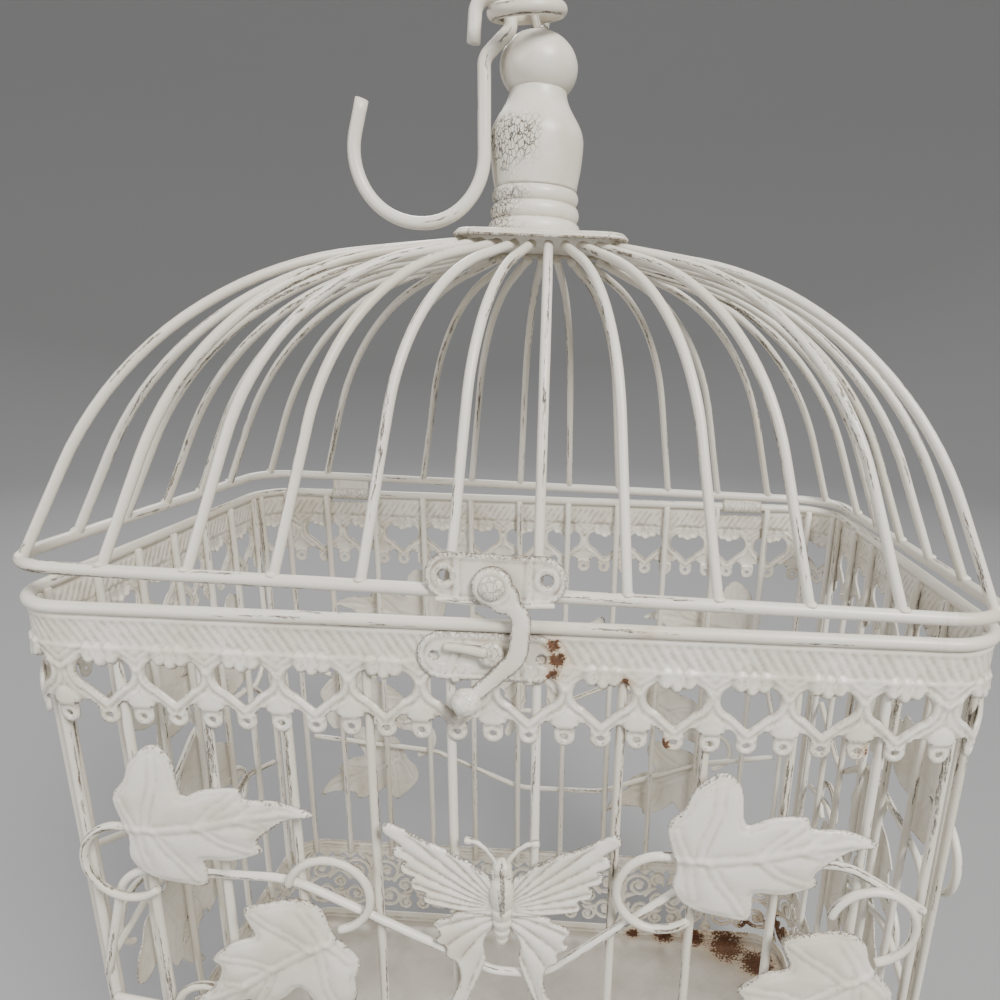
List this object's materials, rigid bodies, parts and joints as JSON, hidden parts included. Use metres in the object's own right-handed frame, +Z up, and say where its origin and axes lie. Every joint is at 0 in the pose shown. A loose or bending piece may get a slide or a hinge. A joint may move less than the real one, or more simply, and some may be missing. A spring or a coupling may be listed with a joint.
{
  "type": "bird cage",
  "caption": "Rectangular wire bird cage with a domed hinged lid, turned finial, hanging ring and hook, front latch, pierced heart and scroll bands, and leaf and butterfly trim.",
  "frame": {"origin": "on the ground under the middle of the rectangular cage", "axes": "+Z up, front wall with the latch faces -Y, +X to the right seen from the front"},
  "size_m": [0.2588, 0.1632, 0.4108],
  "materials": {
    "painted_wire": "satin cream paint, rubbed back to dark metal along the wires",
    "painted_sheet": "satin cream paint on stamped sheet, worn on the raised edges",
    "painted_hardware": "satin cream paint, chipped where the pieces rub",
    "floor_sheet": "matt grey beige paint with some rust",
    "finial_wood": "crackled cream paint on turned wood"
  },
  "bodies": {
    "cage": {"base_frame": "painted_wire", "feet": "painted_wire", "floor_panel": "floor_sheet", "scroll_band_front": "painted_sheet", "scroll_band_back": "painted_sheet", "scroll_band_left": "painted_sheet", "scroll_band_right": "painted_sheet", "scroll_band_corners": "painted_sheet", "bars_front": "painted_wire", "bars_back": "painted_wire", "bars_left": "painted_wire", "bars_right": "painted_wire", "bars_corner": "painted_wire", "rim_frame": "painted_wire", "heart_band_front": "painted_sheet", "heart_band_back": "painted_sheet", "heart_band_left": "painted_sheet", "heart_band_right": "painted_sheet", "heart_band_corners": "painted_sheet", "vine_front": "painted_wire", "vine_back": "painted_wire", "vine_left": "painted_wire", "vine_right": "painted_wire", "tendrils_front": "painted_wire", "tendrils_back": "painted_wire", "tendrils_left": "painted_wire", "tendrils_right": "painted_wire", "leaves_front": "painted_sheet", "leaves_back": "painted_sheet", "leaves_left": "painted_sheet", "leaves_right": "painted_sheet", "butterfly_front": "painted_sheet", "butterfly_back": "painted_sheet", "keeper_plate": "painted_sheet", "keeper_peg": "painted_hardware"},
    "lid": {"lid_frame": "painted_wire", "ribs_front": "painted_wire", "ribs_back": "painted_wire", "ribs_left": "painted_wire", "ribs_right": "painted_wire", "ribs_corner": "painted_wire", "crown_plate": "painted_sheet", "finial": "finial_wood", "screw_eye": "painted_hardware", "latch_plate": "painted_sheet", "latch_rivet": "painted_hardware", "hinge_sleeves": "painted_hardware"},
    "lever": {"latch_lever": "painted_hardware"},
    "ring": {"hanging_ring": "painted_hardware"},
    "hook": {"hanging_hook": "painted_hardware"}
  },
  "joints": [
    {"name": "lid_hinge", "type": "hinge", "parent": "cage", "child": "lid", "pos_m": [0, 0.075, 0.25], "axis": [-1, 0, 0], "range_deg": [0, 105]},
    {"name": "latch_turn", "type": "hinge", "parent": "lid", "child": "lever", "pos_m": [0.00059, -0.079, 0.26115], "axis": [0.0002, -0.9999, 0.0147], "range_deg": [0, 95]},
    {"name": "ring_swing", "type": "hinge", "parent": "lid", "child": "ring", "pos_m": [0.0026, 0.00227, 0.40516], "axis": [-0.951, 0.309, 0.0114], "range_deg": [0, 75]},
    {"name": "hook_swing", "type": "hinge", "parent": "ring", "child": "hook", "pos_m": [-0.00937, -0.00614, 0.40237], "axis": [-0.0002, 0.9999, -0.0147], "range_deg": [0, 100]}
  ]
}
